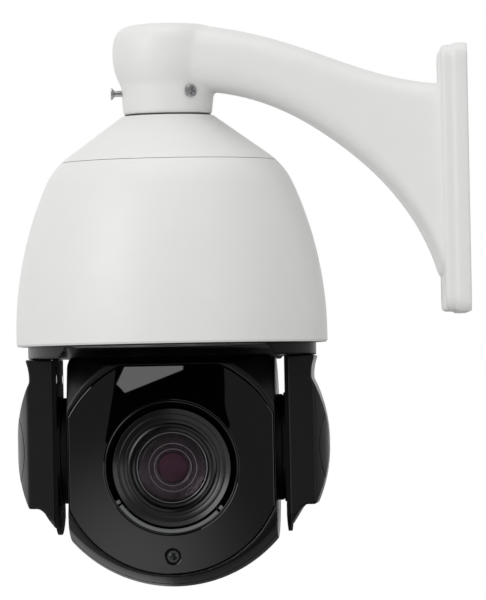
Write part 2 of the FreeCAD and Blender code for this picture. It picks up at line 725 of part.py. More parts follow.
def slip_ring_stator():
    low = HUB_TOP + 2 + SEAM
    tab = box(-4, 4, SLIP_R - 2, PAN_CENTRES - BRIDGE_HALF, BRIDGE_Z, BRIDGE_Z + SHEET)
    return rod("z", SLIP_R, low, BRIDGE_Z + 12.0).fuse(tab)


def board_pillars():
    top = RIM_Z + BOARD_H
    places = around(BOSSES, PILLAR_PITCH, 45.0)
    return Part.makeCompound([rod("z", PILLAR_R, BASE_Z + SHEET, top, (x, y)) for turn, x, y in places])


def main_board():
    low = RIM_Z + BOARD_H
    return tube("z", BOARD_R, 12.0, low, low + BOARD_T)


def board_parts():
    """Power module, transformer, processor and two plug sockets on the board."""
    low = RIM_Z + BOARD_H + BOARD_T
    solids = []
    for across, deep, long, wide, high in BOARD_PARTS:
        x = across * BOARD_R
        y = deep * BOARD_R
        solids.append(box(x, x + long, y, y + wide, low, low + high))
    return Part.makeCompound(solids)


# === turntable and yoke ============================================================
def belt_slot():
    """Way for the tilt belt from the right arm up into the turntable."""
    right = PULLEY_X + BELT_W + 2.0
    return box(PULLEY_X - 2.0, right, -BELT_SLOT, BELT_SLOT, ARM_TOP_Z - 1, FLOOR_Z + HUB_SEAT + 1)


def turntable():
    tray = rod("z", PAN_DISC_R, DISC_Z, RIM_Z + PAN_DISC_UP)
    tray = tray.cut(rod("z", PAN_DISC_R - PAN_FLOOR, FLOOR_Z, RIM_Z + PAN_DISC_UP + 1))
    boss = tube("z", BEARING_R + 2, HUB_BORE, FLOOR_Z - 0.5, FLOOR_Z + HUB_SEAT)
    chamfer = 5.0
    outline = [
        vec(PAN_PAD_X, 0, ARM_TOP_Z), vec(PAN_DISC_R + 1, 0, ARM_TOP_Z), vec(PAN_DISC_R + 1, 0, DISC_Z + 1),
        vec(PAN_PAD_X - chamfer, 0, DISC_Z + 1), vec(PAN_PAD_X - chamfer, 0, DISC_Z),
    ]
    wedge = Part.Face(Part.makePolygon(outline + outline[:1])).extrude(vec(0, 2 * PAN_DISC_R, 0))
    wedge.translate(vec(0, -PAN_DISC_R, 0))
    pad = wedge.common(rod("z", PAN_DISC_R, ARM_TOP_Z - 1, DISC_Z + 2))
    skirt = tube("z", PAN_DISC_R, PAN_DISC_R - PAN_FLOOR, DISC_Z - APRON_H, DISC_Z + 1)
    behind = box(-PAN_PAD_X, PAN_PAD_X, 0, PAN_DISC_R + 1, DISC_Z - APRON_H - 1, DISC_Z + 2)
    body = fused([tray, boss, pad, mirrored(pad), skirt.common(behind)])
    body = body.cut(belt_slot()).cut(mirrored(belt_slot()))
    body = body.cut(rod("z", HUB_BORE, DISC_Z - 1, FLOOR_Z + HUB_SEAT + 1))
    return body


def arm_side(inset):
    """Arm outline seen from the front, from its inner face outwards; its cavity if inset."""
    flank = ARM_NECK - inset
    crown = ARM_BULGE - inset
    wide = ARM_OUT - inset
    top = ARM_TOP_Z - SEAM + (1.0 if inset else 0.0)
    inner = ARM_IN + COVER_T
    neck = vec(flank, 0, TILT_Z + NECK_UP)
    corner = vec(flank + FOOT_OUT, 0, TILT_Z - BULGE_FOOT + inset)
    middle = vec(flank + 0.35, 0, 0.5 * (top + neck.z))
    edges = [
        Part.LineSegment(vec(inner, 0, top), vec(wide, 0, top)).toShape(),
        Part.Arc(vec(wide, 0, top), middle, neck).toShape(),
        Part.Arc(neck, vec(crown, 0, TILT_Z + BULGE_LIFT), corner).toShape(),
    ]
    tail = [corner, vec(inner, 0, corner.z), vec(inner, 0, top)]
    if not inset:
        shelf = vec(corner.x - SHELF, 0, corner.z)
        bend = vec(shelf.x - 0.52 * TIP_BEND, 0, shelf.z - 0.26 * TIP_BEND)
        slope = vec(shelf.x - TIP_BEND, 0, shelf.z - 0.78 * TIP_BEND)
        tip = vec(ARM_IN, 0, TILT_Z - ARM_TIP)
        foot = slope + (tip - slope) * ((slope.x - inner) / (slope.x - tip.x))
        edges.append(Part.LineSegment(corner, shelf).toShape())
        edges.append(Part.Arc(shelf, bend, slope).toShape())
        tail = [slope, foot, vec(inner, 0, top)]
    edges += [Part.LineSegment(a, b).toShape() for a, b in zip(tail, tail[1:])]
    return Part.Face(Part.Wire(edges))


def arm_depth(inset):
    """Arm outline seen from above: straight flanks and a crowned outer face, run down its height."""
    half = ARM_DEEP - inset
    crown = ARM_BULGE - inset
    edge = ARM_BULGE - BULGE_CROWN - inset
    z = TILT_Z - ARM_TIP - 1
    inner = ARM_IN
    edges = [
        Part.Arc(vec(edge, -half, z), vec(crown, 0, z), vec(edge, half, z)).toShape(),
        Part.LineSegment(vec(edge, half, z), vec(inner, half, z)).toShape(),
        Part.LineSegment(vec(inner, half, z), vec(inner, -half, z)).toShape(),
        Part.LineSegment(vec(inner, -half, z), vec(edge, -half, z)).toShape(),
    ]
    return Part.Face(Part.Wire(edges)).extrude(vec(0, 0, ARM_TOP_Z - z + 2))


def arm_volume(inset):
    """Whole volume of an arm, with its lower end rounded about the tilt axis."""
    slab = arm_side(inset).extrude(vec(0, 4 * ARM_DEEP, 0))
    slab.translate(vec(0, -2 * ARM_DEEP, 0))
    body = slab.common(arm_depth(inset))
    low = TILT_Z - ARM_TIP - 1
    stem = box(ARM_IN - 1, ARM_BULGE + 1, -ARM_DEEP - 1, ARM_DEEP + 1, TILT_Z, ARM_TOP_Z + 2)
    round_end = rod("x", ARM_TIP - inset, ARM_IN - 1, ARM_BULGE + 1, TILT_AT)
    round_end = round_end.common(box(ARM_IN - 1, ARM_BULGE + 1, -ARM_TIP, ARM_TIP, low, TILT_Z))
    return body.common(fused([stem, round_end]))


def cap_bore(r, start):
    return rod("x", r, start, ARM_BULGE + 2, TILT_AT)


def arm_shell():
    body = arm_volume(0.0).cut(arm_volume(ARM_SKIN))
    body = body.cut(cap_bore(CAP_RIM_R, ARM_NECK - ARM_SKIN))
    for y, z in COVER_SCREW_AT:
        post = rod("x", 3.2, ARM_IN + COVER_T, ARM_NECK - 1.0, (y, z)).common(arm_volume(ARM_SKIN / 2))
        body = body.fuse(post)
    for y, z in COVER_SCREW_AT:
        body = body.cut(rod("x", COVER_SCREW_R + FIT, ARM_IN, ARM_IN + COVER_SCREW_L + 1.0, (y, z)))
    return body.removeSplitter()


def arm_cap():
    """Round cap let into the bulge over the end of the tilt shaft."""
    full = arm_volume(0.0).common(cap_bore(CAP_RIM_R - SEAM, ARM_NECK))
    inner = arm_volume(CAP_T).common(cap_bore(CAP_RIM_R - SEAM - CAP_T, ARM_NECK - 1.0))
    return full.cut(inner)


def arm_cover():
    """Inner side of an arm, with the boss that almost meets the head's hub."""
    outline = [
        vec(ARM_IN, -ARM_DEEP, TILT_Z), vec(ARM_IN, -ARM_DEEP, ARM_TOP_Z - SEAM),
        vec(ARM_IN, ARM_DEEP, ARM_TOP_Z - SEAM), vec(ARM_IN, ARM_DEEP, TILT_Z),
    ]
    upper = Part.Face(Part.makePolygon(outline + outline[:1])).extrude(vec(COVER_T, 0, 0))
    disc = rod("x", ARM_TIP, ARM_IN, ARM_IN + COVER_T, TILT_AT)
    disc = disc.common(box(ARM_IN, ARM_IN + COVER_T, -ARM_DEEP, ARM_DEEP, TILT_Z - ARM_TIP, TILT_Z))
    boss = rod("x", COVER_BOSS_R, ARM_IN - COVER_BOSS, ARM_IN, TILT_AT)
    low = TILT_Z - COVER_BOSS_R
    boss = boss.common(box(ARM_IN - COVER_BOSS, ARM_IN, -ARM_DEEP, ARM_DEEP, low, low + 2 * COVER_BOSS_R))
    seat = rod("x", TILT_BEARING_R + 2.0, ARM_IN, ARM_IN + COVER_T + 2.0, TILT_AT)
    body = fused([upper, disc, boss, seat])
    body = body.cut(rod("x", TILT_BEARING_R + FIT, ARM_IN - 1.0, ARM_IN + COVER_T + 3.0, TILT_AT))
    body = body.cut(rod("x", TILT_SHAFT_R + 1.5, ARM_IN - COVER_BOSS - 1, ARM_IN + 1, TILT_AT))
    for y, z in COVER_SCREW_AT:
        body = body.cut(rod("x", COVER_SCREW_R + FIT, ARM_IN - 1, ARM_IN + COVER_T + 1, (y, z)))
        body = body.cut(rod("x", COVER_HEAD_R + FIT, ARM_IN - COVER_BOSS - 1, ARM_IN + COVER_HEAD, (y, z)))
    return body


def cover_screws():
    """Small pan-head screws that hold both inner covers to the arms."""
    solids = []
    for y, z in COVER_SCREW_AT:
        screw = rod("x", COVER_SCREW_R, ARM_IN, ARM_IN + COVER_SCREW_L, (y, z))
        head = rod("x", COVER_HEAD_R, ARM_IN, ARM_IN + COVER_HEAD, (y, z))
        solids.append(screw.fuse(head))
    solids += [mirrored(s) for s in solids]
    return Part.makeCompound(solids)


def tilt_bearing():
    return tube("x", TILT_BEARING_R, TILT_SHAFT_R + RUN, ARM_IN - 1.0, ARM_IN + COVER_T + 2.0, TILT_AT)


def tilt_belt():
    edge = 0.4
    start = PULLEY_X + edge
    return belt("x", start, start + BELT_W - 2 * edge, TILT_AT, TILT_PULLEY_R, TILT_PINION_AT, TILT_PINION_R)


def tilt_motor():
    end = PAN_PAD_X + 2.0
    body = rod("x", TILT_MOTOR_R, end - TILT_MOTOR_L, end, TILT_PINION_AT)
    spigot = rod("x", 4.0, end, end + 2.0, TILT_PINION_AT)
    return body.fuse(spigot).cut(rod("x", 1.5 + RUN, end - 7.0, end + 3.0, TILT_PINION_AT))


def tilt_motor_bracket():
    end = PAN_PAD_X + 2.0
    plate = box(end, end + 2.0, -TILT_MOTOR_R - 4, TILT_MOTOR_R + 4, FLOOR_Z, TILT_MOTOR_Z + TILT_MOTOR_R - 2)
    foot = box(end - 8.0, end, TILT_MOTOR_R + 1, TILT_MOTOR_R + 4, FLOOR_Z, FLOOR_Z + 2)
    foot = foot.fuse(box(end - 8.0, end, -TILT_MOTOR_R - 4, -TILT_MOTOR_R - 1, FLOOR_Z, FLOOR_Z + 2))
    return plate.fuse(foot).cut(rod("x", 4.0 + FIT, end - 1, end + 3, TILT_PINION_AT))


def tilt_motor_pulley():
    end = PAN_PAD_X + 2.0
    wheel = pulley("x", TILT_PINION_R, 0, PULLEY_X, PULLEY_X + BELT_W, TILT_PINION_AT)
    return wheel.fuse(rod("x", 1.5, end - 5.0, PULLEY_X, TILT_PINION_AT))


# === camera head ===================================================================
def head_volume(inset):
    """Ball cut by two flats, with a flat face and a back that clears the turntable."""
    r = HEAD_R - inset
    back = HEAD_BACK - inset
    top = HEAD_TOP - inset
    face = -FACE_Y + (inset if inset else 0.0)
    half = HEAD_HALF - inset

    def spot(y, z):
        return vec(-half, y, TILT_Z + z)

    face_low = -math.sqrt(r * r - face * face)
    back_low = -math.sqrt(r * r - back * back)
    ease = top - (HEAD_TOP - FACE_TOP)
    edges = [
        Part.Arc(spot(face, face_low), spot(0, -r), spot(back, back_low)).toShape(),
        Part.LineSegment(spot(back, back_low), spot(back, 0)).toShape(),
        Part.Arc(spot(back, 0), spot(back * math.sqrt(0.5), top * math.sqrt(0.5)), spot(0, top)).toShape(),
        Part.LineSegment(spot(0, top), spot(face + 14.0, top)).toShape(),
        Part.LineSegment(spot(face + 14.0, top), spot(face, ease)).toShape(),
        Part.LineSegment(spot(face, ease), spot(face, face_low)).toShape(),
    ]
    slab = Part.Face(Part.Wire(edges)).extrude(vec(2 * half, 0, 0))
    ball = Part.makeSphere(r, vec(0, 0, TILT_Z))
    spread = 60.0
    nose = Part.makeCone(FACE_R + 2.0 - inset, FACE_R + 2.0 - inset + spread * 1.3, spread,
                         vec(0, -FACE_Y, TILT_Z - FACE_DROP), vec(0, 1, 0))
    behind = box(-HEAD_R, HEAD_R, spread - FACE_Y, HEAD_R, TILT_Z - HEAD_R - 1, TILT_Z + HEAD_R)
    return slab.common(ball).common(nose.fuse(behind))


def face_plate(inset, y0, y1):
    """Disc of the face, with its side flats and flat top, shrunk by inset."""
    disc = rod("y", FACE_R - inset, y0, y1, (0.0, TILT_Z - FACE_DROP))
    disc = disc.common(rod("y", FACE_BROW_R - inset, y0, y1, (0.0, TILT_Z - FACE_BROW_DROP)))
    half = HEAD_HALF - FACE_RIM - inset
    frame = box(-half, half, y0, y1, TILT_Z - HEAD_R, TILT_Z + FACE_TOP - FACE_RIM - inset)
    return disc.common(frame)


def lens_rod(r, y0, y1):
    return rod("y", r, y0, y1, (0.0, LENS_Z))


def head_halves():
    """Front bezel and rear shell, parted on a plane across the head."""
    shell = head_volume(0.0).cut(head_volume(HEAD_WALL))
    size = HEAD_R + 1
    front_box = box(-size, size, -size, -SPLIT_Y - SEAM / 2, TILT_Z - size, TILT_Z + size)
    rear_box = box(-size, size, -SPLIT_Y + SEAM / 2, size, TILT_Z - size, TILT_Z + size)
    face = -FACE_Y
    seat = face + WINDOW_T + SEAL_T
    solid_face = head_volume(0.0).common(box(-size, size, face, seat + 3.0, TILT_Z - size, TILT_Z + size))
    frame = solid_face.cut(face_plate(0.0, face - 1, seat)).cut(face_plate(LEDGE, face, seat + 4.0))
    bezel = shell.common(front_box).cut(face_plate(0.0, face - 1, seat + 4.0)).fuse(frame)
    rear = shell.common(rear_box)
    bores = rod("x", HUB_NECK_R + SEAM, -HEAD_R, HEAD_R, TILT_AT)
    return bezel.cut(bores).removeSplitter(), rear.cut(bores).removeSplitter()


def front_window():
    face = -FACE_Y
    plate = face_plate(SEAM, face, face + WINDOW_T)
    plate = plate.cut(lens_rod(LENS_RING_R, face - 1, face + WINDOW_T + 1))
    return plate.cut(rod("y", SENSOR_R, face - 1, face + WINDOW_T + 1, (0.0, TILT_Z - SENSOR_DROP)))


def window_seal():
    low = -FACE_Y + WINDOW_T
    return face_plate(SEAM, low, low + SEAL_T).cut(face_plate(LEDGE - 0.5, low - 1, low + SEAL_T + 1))


def lens_ring():
    """Trim ring in the window's hole, round the lens barrel."""
    face = -FACE_Y
    outline = [
        (LENS_RING_IN, face + 1.0), (LENS_RING_IN + 1.2, face - 0.6), (LENS_RING_R - 1.0, face - 0.6),
        (LENS_RING_R - FIT, face), (LENS_RING_R - FIT, face + WINDOW_T + 5.0),
        (LENS_RING_IN, face + WINDOW_T + 5.0),
    ]
    return turned("y", outline, (0.0, LENS_Z))


def lens_barrel():
    """Stepped black barrel that holds the front glass and guides the moving cells."""
    outline = [
        (GLASS_R + FIT, GLASS_Y), (GLASS_R + 2.4, BARREL_Y + 1.6), (BARREL_STEP_R - 1.2, BARREL_Y + 1.6),
        (BARREL_STEP_R, BARREL_Y + 2.6), (BARREL_STEP_R + 1.2, BARREL_Y + 1.4), (BARREL_R - 3.0, BARREL_Y),
        (BARREL_R, BARREL_Y + 1.2), (BARREL_R, BARREL_Y + 9.0), (BARREL_R - 8.0, BARREL_Y + 12.0),
        (BARREL_R - 8.0, BARREL_BACK), (IRIS_R, BARREL_BACK), (IRIS_R, BARREL_BACK - 2.0),
        (CELL_BORE, BARREL_BACK - 2.0), (CELL_BORE, CELL_Y - 2.0), (GLASS_R + FIT, CELL_Y - 2.0),
    ]
    return turned("y", outline, (0.0, LENS_Z))


def domed(r, y0, thick, front, back):
    """Lens element: a disc with its two faces domed by the given heights."""
    def cap(height, y, sign):
        if height <= 0:
            return None
        radius = (r * r + height * height) / (2 * height)
        ball = Part.makeSphere(radius, vec(0, y + sign * (height - radius) * -1.0, LENS_Z))
        keep = lens_rod(r, min(y, y - sign * height), max(y, y - sign * height))
        return ball.common(keep)

    disc = lens_rod(r, y0 + front, y0 + thick - back)
    caps = [cap(front, y0 + front, 1), cap(back, y0 + thick - back, -1)]
    return fused([disc] + [c for c in caps if c])


def front_lens():
    return domed(GLASS_R, GLASS_Y - 1.6, GLASS_T + 1.6, 2.6, 1.2)


def lens_cell(start):
    """Moving cell: a ring with its lens element, free to slide in the barrel."""
    holder = lens_rod(CELL_BORE - FIT, start, start + CELL_L)
    holder = holder.cut(lens_rod(CELL_BORE - 4.0, start - 1, start + 1.5))
    return holder.cut(lens_rod(CELL_BORE - 4.0, start + CELL_L - 1.5, start + CELL_L + 1))


def ir_cut_filter():
    half = FILTER_W / 2
    return box(-half, half, FILTER_Y, FILTER_Y + FILTER_T, LENS_Z - half, LENS_Z + half)


def camera_block():
    """Camera module behind the barrel, with the filter's slot and the light path."""
    half = CAMERA_W / 2
    high = CAMERA_H / 2
    body = box(-half, half, BARREL_BACK, CAMERA_BACK, LENS_Z - high, LENS_Z + high)
    edges = [e for e in body.Edges if abs(e.tangentAt(e.FirstParameter).y) > 0.9]
    body = body.makeFillet(3.0, edges)
    room = FILTER_W / 2 + FIT
    slot = box(-room, room + FILTER_TRAVEL, FILTER_Y - FIT, FILTER_Y + FILTER_T + FIT,
               LENS_Z - room, LENS_Z + room)
    return body.cut(slot).cut(lens_rod(IRIS_R - 7.0, BARREL_BACK - 1, FILTER_Y + 6.0))


def sensor_board():
    half = CAMERA_W / 2 - 2.0
    return box(-half, half, CAMERA_BACK, CAMERA_BACK + BOARD_T, LENS_Z - half, LENS_Z + half)


def camera_bracket():
    """Cradle under the camera module, screwed to the two hubs' flanges."""
    low = LENS_Z - CAMERA_H / 2
    side = HEAD_HALF - HEAD_WALL - 3.0 - FIT
    deck = box(-side, side, BARREL_BACK + 1, CAMERA_BACK - 6, low - 2.0, low)
    ears = [box(side - 2.0, side, -14.0, CAMERA_BACK - 6, low - 2.0, TILT_Z - 12.0)]
    ears.append(mirrored(ears[0]))
    return fused([deck] + ears)


def led_board():
    r_out = LED_PITCH + LED_R + LED_BORDER
    return tube("y", r_out, LENS_RING_R + 1.0, LED_Y, LED_Y + BOARD_T, (0.0, LENS_Z))


def led_holder():
    """Ring between the head's ledge and the LED board."""
    r_out = LED_PITCH + LED_R + LED_BORDER
    ring = tube("y", r_out, r_out - 3.0, LED_Y - 3.0, LED_Y, (0.0, LENS_Z))
    low = rod("y", LED_R + 2.0, LED_Y - 4, LED_Y + 1, (0.0, TILT_Z - SENSOR_DROP))
    return ring.cut(low)


def ir_leds():
    solids = []
    for turn, x, z in around(LED_COUNT, LED_PITCH, -90.0):
        if abs(turn + 90.0) < 1.0:
            continue
        stem = rod("y", LED_R, LED_Y - 1.5, LED_Y, (x, LENS_Z + z))
        bulb = Part.makeSphere(LED_R - 1.8, vec(x, LED_Y - 1.5, LENS_Z + z))
        solids.append(stem.fuse(bulb.common(rod("y", LED_R, LED_Y - 6, LED_Y - 0.5, (x, LENS_Z + z)))))
    return Part.makeCompound(solids)


def light_sensor():
    at = (0.0, TILT_Z - SENSOR_DROP)
    face = -FACE_Y
    stem = rod("y", SENSOR_R - FIT, face + 0.8, LED_Y, at)
    return stem.cut(rod("y", SENSOR_R - 1.2, face, face + 2.0, at))


def sensor_lens():
    at = (0.0, TILT_Z - SENSOR_DROP)
    face = -FACE_Y
    base = rod("y", SENSOR_R - 1.2 - FIT, face + 1.4, face + 2.0, at)
    dome = Part.makeSphere(SENSOR_R + 1.5, vec(0, face + 0.9 + SENSOR_R + 1.5, at[1]))
    return base.fuse(dome.common(rod("y", SENSOR_R - 1.2 - FIT, face, face + 1.6, at)))


def tilt_hub(bore):
    """Hub on one side of the head: inner flange, neck through the shell, disc and shaft."""
    inner = HEAD_HALF - HEAD_WALL
    outline = [
        (0, inner - 3.0), (HUB_FLANGE_R, inner - 3.0), (HUB_FLANGE_R, inner - FIT), (HUB_NECK_R, inner - FIT),
        (HUB_NECK_R, HEAD_HALF + SEAM), (HUB_DISC_R, HEAD_HALF + SEAM),
        (HUB_DISC_R, ARM_IN - COVER_BOSS - 1.0), (HUB_DISC_R - 0.8, ARM_IN - COVER_BOSS - 0.5),
        (TILT_SHAFT_R + 2, ARM_IN - COVER_BOSS - 0.5), (TILT_SHAFT_R, ARM_IN - COVER_BOSS - 0.5),
        (TILT_SHAFT_R, PULLEY_X + BELT_W + 2.0), (0, PULLEY_X + BELT_W + 2.0),
    ]
    hub = turned("x", outline, TILT_AT)
    if bore:
        hub = hub.cut(rod("x", bore, inner - 4.0, PULLEY_X + BELT_W + 3.0, TILT_AT))
    return hub


def tilt_pulley():
    return pulley("x", TILT_PULLEY_R, TILT_SHAFT_R + FIT, PULLEY_X, PULLEY_X + BELT_W, TILT_AT)


def heat_sink():
    """Finned block on the back of the sensor board."""
    low = CAMERA_BACK + BOARD_T
    half = 18.0
    pieces = [box(-half, half, low, low + 2.0, LENS_Z - half, LENS_Z + half)]
    fins = 7
    pitch = (2 * half - 1.6) / (fins - 1)
    for i in range(fins):
        x = -half + i * pitch
        pieces.append(box(x, x + 1.6, low, low + 6.0, LENS_Z - half, LENS_Z + half))
    return fused(pieces)


bezel, rear_shell = head_halves()
right_shell = arm_shell()
right_cap = arm_cap()
right_cover = arm_cover()
zoom_start = CELL_Y
focus_start = CELL_Y + CELL_L + ZOOM_TRAVEL + CELL_GAP

FIXED = {
    "wall_bracket": wall_bracket(),
    "collar_screws": collar_screws(),
    "neck_gasket": neck_gasket(),
    "neck_pipe": neck_pipe(),
    "cable_grommet": cable_grommet(),
    "dome_top_cap": dome_top_cap(),
    "cap_screws": cap_screws(),
    "seam_gasket": seam_gasket(),
    "bell_housing": bell_housing(),
    "base_plate": base_plate(),
    "base_plate_screws": base_plate_screws(),
    "pan_bearing_outer": pan_bearing_outer(),
    "pan_motor": pan_motor(),
    "pan_motor_bracket": pan_motor_bracket(),
    "pan_belt": pan_belt(),
    "slip_ring_stator": slip_ring_stator(),
    "board_pillars": board_pillars(),
    "main_board": main_board(),
    "board_parts": board_parts(),
    "pan_motor_pulley": pan_motor_pulley(),
}

TURNING = {
    "turntable": turntable(),
    "pan_hub": pan_hub(),
    "pan_pulley": pan_pulley(),
    "pan_bearing_inner": pan_bearing_inner(),
    "pan_bearing_balls": pan_bearing_balls(),
    "slip_ring_rotor": slip_ring_rotor(),
    "right_arm_shell": right_shell,
    "left_arm_shell": mirrored(right_shell),
    "right_arm_cap": right_cap,
    "left_arm_cap": mirrored(right_cap),
    "right_arm_cover": right_cover,
    "left_arm_cover": mirrored(right_cover),
    "arm_cover_screws": cover_screws(),
    "right_tilt_bearing": tilt_bearing(),
    "left_tilt_bearing": mirrored(tilt_bearing()),
    "tilt_motor": tilt_motor(),
    "tilt_motor_bracket": tilt_motor_bracket(),
    "tilt_belt": tilt_belt(),
    "tilt_motor_pulley": tilt_motor_pulley(),
    "head_bezel": bezel,
    "head_rear_shell": rear_shell,
    "right_tilt_hub": tilt_hub(0),
    "left_tilt_hub": mirrored(tilt_hub(TILT_SHAFT_R - 2.0)),
    "tilt_pulley": tilt_pulley(),
    "front_window": front_window(),
    "window_seal": window_seal(),
    "lens_ring": lens_ring(),
    "lens_barrel": lens_barrel(),
    "front_lens": front_lens(),
    "camera_block": camera_block(),
    "sensor_board": sensor_board(),
    "heat_sink": heat_sink(),
    "camera_bracket": camera_bracket(),
    "led_board": led_board(),
    "ir_leds": ir_leds(),
    "light_sensor": light_sensor(),
    "sensor_lens": sensor_lens(),
    "zoom_cell": lens_cell(zoom_start),
    "focus_cell": lens_cell(focus_start),
    "ir_cut_filter": ir_cut_filter(),
}


def write(node, shape, turn):
    """Writes one piece, turned about the dome axis and moved to the part's origin."""
    moved = shape.copy()
    moved.rotate(vec(0, 0, 0), ALONG["z"], turn)
    moved.translate(vec(-REACH, 0, 0))
    moved.exportStep("parts/" + node + ".step")
    bound = moved.BoundBox
    sides = (bound.XMin, bound.XMax, bound.YMin, bound.YMax, bound.ZMin, bound.ZMax)
    print(node, len(moved.Solids), moved.isValid(), round(moved.Volume), [round(v, 1) for v in sides])


os.makedirs("parts", exist_ok=True)
for name, piece in FIXED.items():
    write(name, piece, 0.0)
for name, piece in TURNING.items():
    write(name, piece, HEAD_TURN)
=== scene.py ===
import math

import bpy
from mathutils import Matrix, Vector


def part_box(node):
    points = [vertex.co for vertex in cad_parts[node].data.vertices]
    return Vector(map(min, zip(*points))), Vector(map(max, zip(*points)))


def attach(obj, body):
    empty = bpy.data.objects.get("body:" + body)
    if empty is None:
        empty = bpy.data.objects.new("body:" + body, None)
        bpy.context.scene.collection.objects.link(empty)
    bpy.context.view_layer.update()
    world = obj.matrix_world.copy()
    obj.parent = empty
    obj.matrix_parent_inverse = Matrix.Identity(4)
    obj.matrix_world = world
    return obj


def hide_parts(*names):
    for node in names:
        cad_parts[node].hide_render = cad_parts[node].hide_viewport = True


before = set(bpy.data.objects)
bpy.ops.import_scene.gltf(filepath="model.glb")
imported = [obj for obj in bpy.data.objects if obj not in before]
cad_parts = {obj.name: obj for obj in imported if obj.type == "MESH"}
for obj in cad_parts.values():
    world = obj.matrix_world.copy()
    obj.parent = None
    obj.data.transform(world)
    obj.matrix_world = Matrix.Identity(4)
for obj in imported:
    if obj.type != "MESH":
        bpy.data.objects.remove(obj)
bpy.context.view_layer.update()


# --- Wall bracket ----------------------------------------------------------------------
# One hollow aluminium casting: the plate with its raised pad, the flared arm and the
# collar. It is linished, then powder coated white, and the coat rounds every cast edge
# and leaves a satin sheen with a faint orange peel.
def add(material, kind, settings=None, links=None):
    """Adds a shader node, sets its values and links its inputs."""
    node = material.node_tree.nodes.new(kind)
    for name, value in (settings or {}).items():
        if name in node.inputs:
            node.inputs[name].default_value = value
        else:
            setattr(node, name, value)
    for name, socket in (links or {}).items():
        material.node_tree.links.new(socket, node.inputs[name])
    return node


def colour(code):
    """Linear colour from an sRGB hex value."""
    parts = [int(code[i:i + 2], 16) / 255 for i in (1, 3, 5)]
    return tuple(c / 12.92 if c < 0.04045 else ((c + 0.055) / 1.055) ** 2.4 for c in parts) + (1.0,)


def finish_for(name, base, patch, patch_mm, rough, grain_mm, depth_mm):
    """A solid finish: slow patches of tone and of roughness, and a fine grain that stands proud."""
    material = bpy.data.materials.new(name)
    material.use_nodes = True
    material.node_tree.nodes.clear()
    shader = add(material, "ShaderNodeBsdfPrincipled")
    add(material, "ShaderNodeOutputMaterial", links={"Surface": shader.outputs["BSDF"]})
    place = add(material, "ShaderNodeTexCoord").outputs["Object"]
    slow = add(material, "ShaderNodeTexNoise", {"Scale": 1000.0 / patch_mm, "Detail": 3.0}, {"Vector": place})
    tone = add(material, "ShaderNodeMix", {"data_type": "RGBA"}, {"Factor": slow.outputs["Fac"]})
    tone.inputs[6].default_value = colour(base)
    tone.inputs[7].default_value = colour(patch)
    material.node_tree.links.new(tone.outputs[2], shader.inputs["Base Color"])
    sheen = add(material, "ShaderNodeMapRange", {"To Min": rough * 0.92, "To Max": rough * 1.08},
                {"Value": slow.outputs["Fac"]})
    material.node_tree.links.new(sheen.outputs["Result"], shader.inputs["Roughness"])
    grain = add(material, "ShaderNodeTexNoise", {"Scale": 1000.0 / grain_mm, "Detail": 2.0}, {"Vector": place})
    relief = add(material, "ShaderNodeBump", {"Strength": 1.0, "Distance": depth_mm / 1000.0},
                 {"Height": grain.outputs["Fac"]})
    material.node_tree.links.new(relief.outputs["Normal"], shader.inputs["Normal"])
    return material, shader


def give(material, *nodes):
    """Gives CAD nodes a material in place of their plain one."""
    for name in nodes:
        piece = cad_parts[name]
        piece.data.materials.clear()
        piece.data.materials.append(material)


def copy_of(node, name):
    """A merged copy of a CAD node, alone in the selection."""
    piece = bpy.data.objects.new(name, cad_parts[node].data.copy())
    piece.data.materials.clear()
    bpy.context.scene.collection.objects.link(piece)
    bpy.ops.object.select_all(action="DESELECT")
    piece.select_set(True)
    bpy.context.view_layer.objects.active = piece
    bpy.ops.object.mode_set(mode="EDIT")
    bpy.ops.mesh.select_all(action="SELECT")
    bpy.ops.mesh.remove_doubles(threshold=0.00001)
    bpy.ops.object.mode_set(mode="OBJECT")
    return piece


def cast_from(node, name, voxel_mm, rounds, keep):
    """A copy of a CAD node with soft edges, as a mould leaves them."""
    piece = copy_of(node, name)
    skin = piece.modifiers.new("skin", "REMESH")
    skin.mode = "VOXEL"
    skin.voxel_size = voxel_mm / 1000.0
    bpy.ops.object.modifier_apply(modifier="skin")
    soft = piece.modifiers.new("soft", "SMOOTH")
    soft.factor = 0.5
    soft.iterations = rounds
    bpy.ops.object.modifier_apply(modifier="soft")
    thin = piece.modifiers.new("thin", "DECIMATE")
    thin.ratio = keep
    return piece


def settle(piece, material, body, slot_name, *nodes):
    """Applies what is left to apply, and hands a finished piece to its body."""
    bpy.context.view_layer.objects.active = piece
    for step in list(piece.modifiers):
        bpy.ops.object.modifier_apply(modifier=step.name)
    for face in piece.data.polygons:
        face.use_smooth = True
    piece.data.materials.append(material)
    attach(piece, body)
    if nodes:
        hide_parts(*nodes)


# White polyester powder coat: satin, with an orange peel of about 1.4 mm pitch.
powder_coat, shader = finish_for("white_powder_coat", "#e8e8e6", "#e4e4e2", 18.0, 0.42, 1.4, 0.012)

bracket = cast_from("wall_bracket", "bracket_casting", 1.15, 2, 0.8)
# The arm's root and its neck blend into the plate and the head as a casting's fillets do.
plate_thickness = 0.0166
plate_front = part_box("wall_bracket")[1][0] - plate_thickness
arm_foot = -0.082
fillets = bracket.vertex_groups.new(name="fillets")
for corner in bracket.data.vertices:
    ahead = plate_front - corner.co.x
    if ahead > 0.0004 and corner.co.z > arm_foot:
        fillets.add([corner.index], min(1.0, ahead / 0.003), "REPLACE")
blend = bracket.modifiers.new("blend", "SMOOTH")
blend.factor = 0.5
blend.iterations = 26
blend.vertex_group = "fillets"
bracket.modifiers.move(1, 0)
settle(bracket, powder_coat, "housing", "white_paint", "wall_bracket")


# --- Collar screws and neck ------------------------------------------------------------
# Three M4 countersunk cross-head screws in bright zinc plated steel clamp the neck pipe.
# The pipe is white like the casting, with a black silicone gasket and cable grommet.

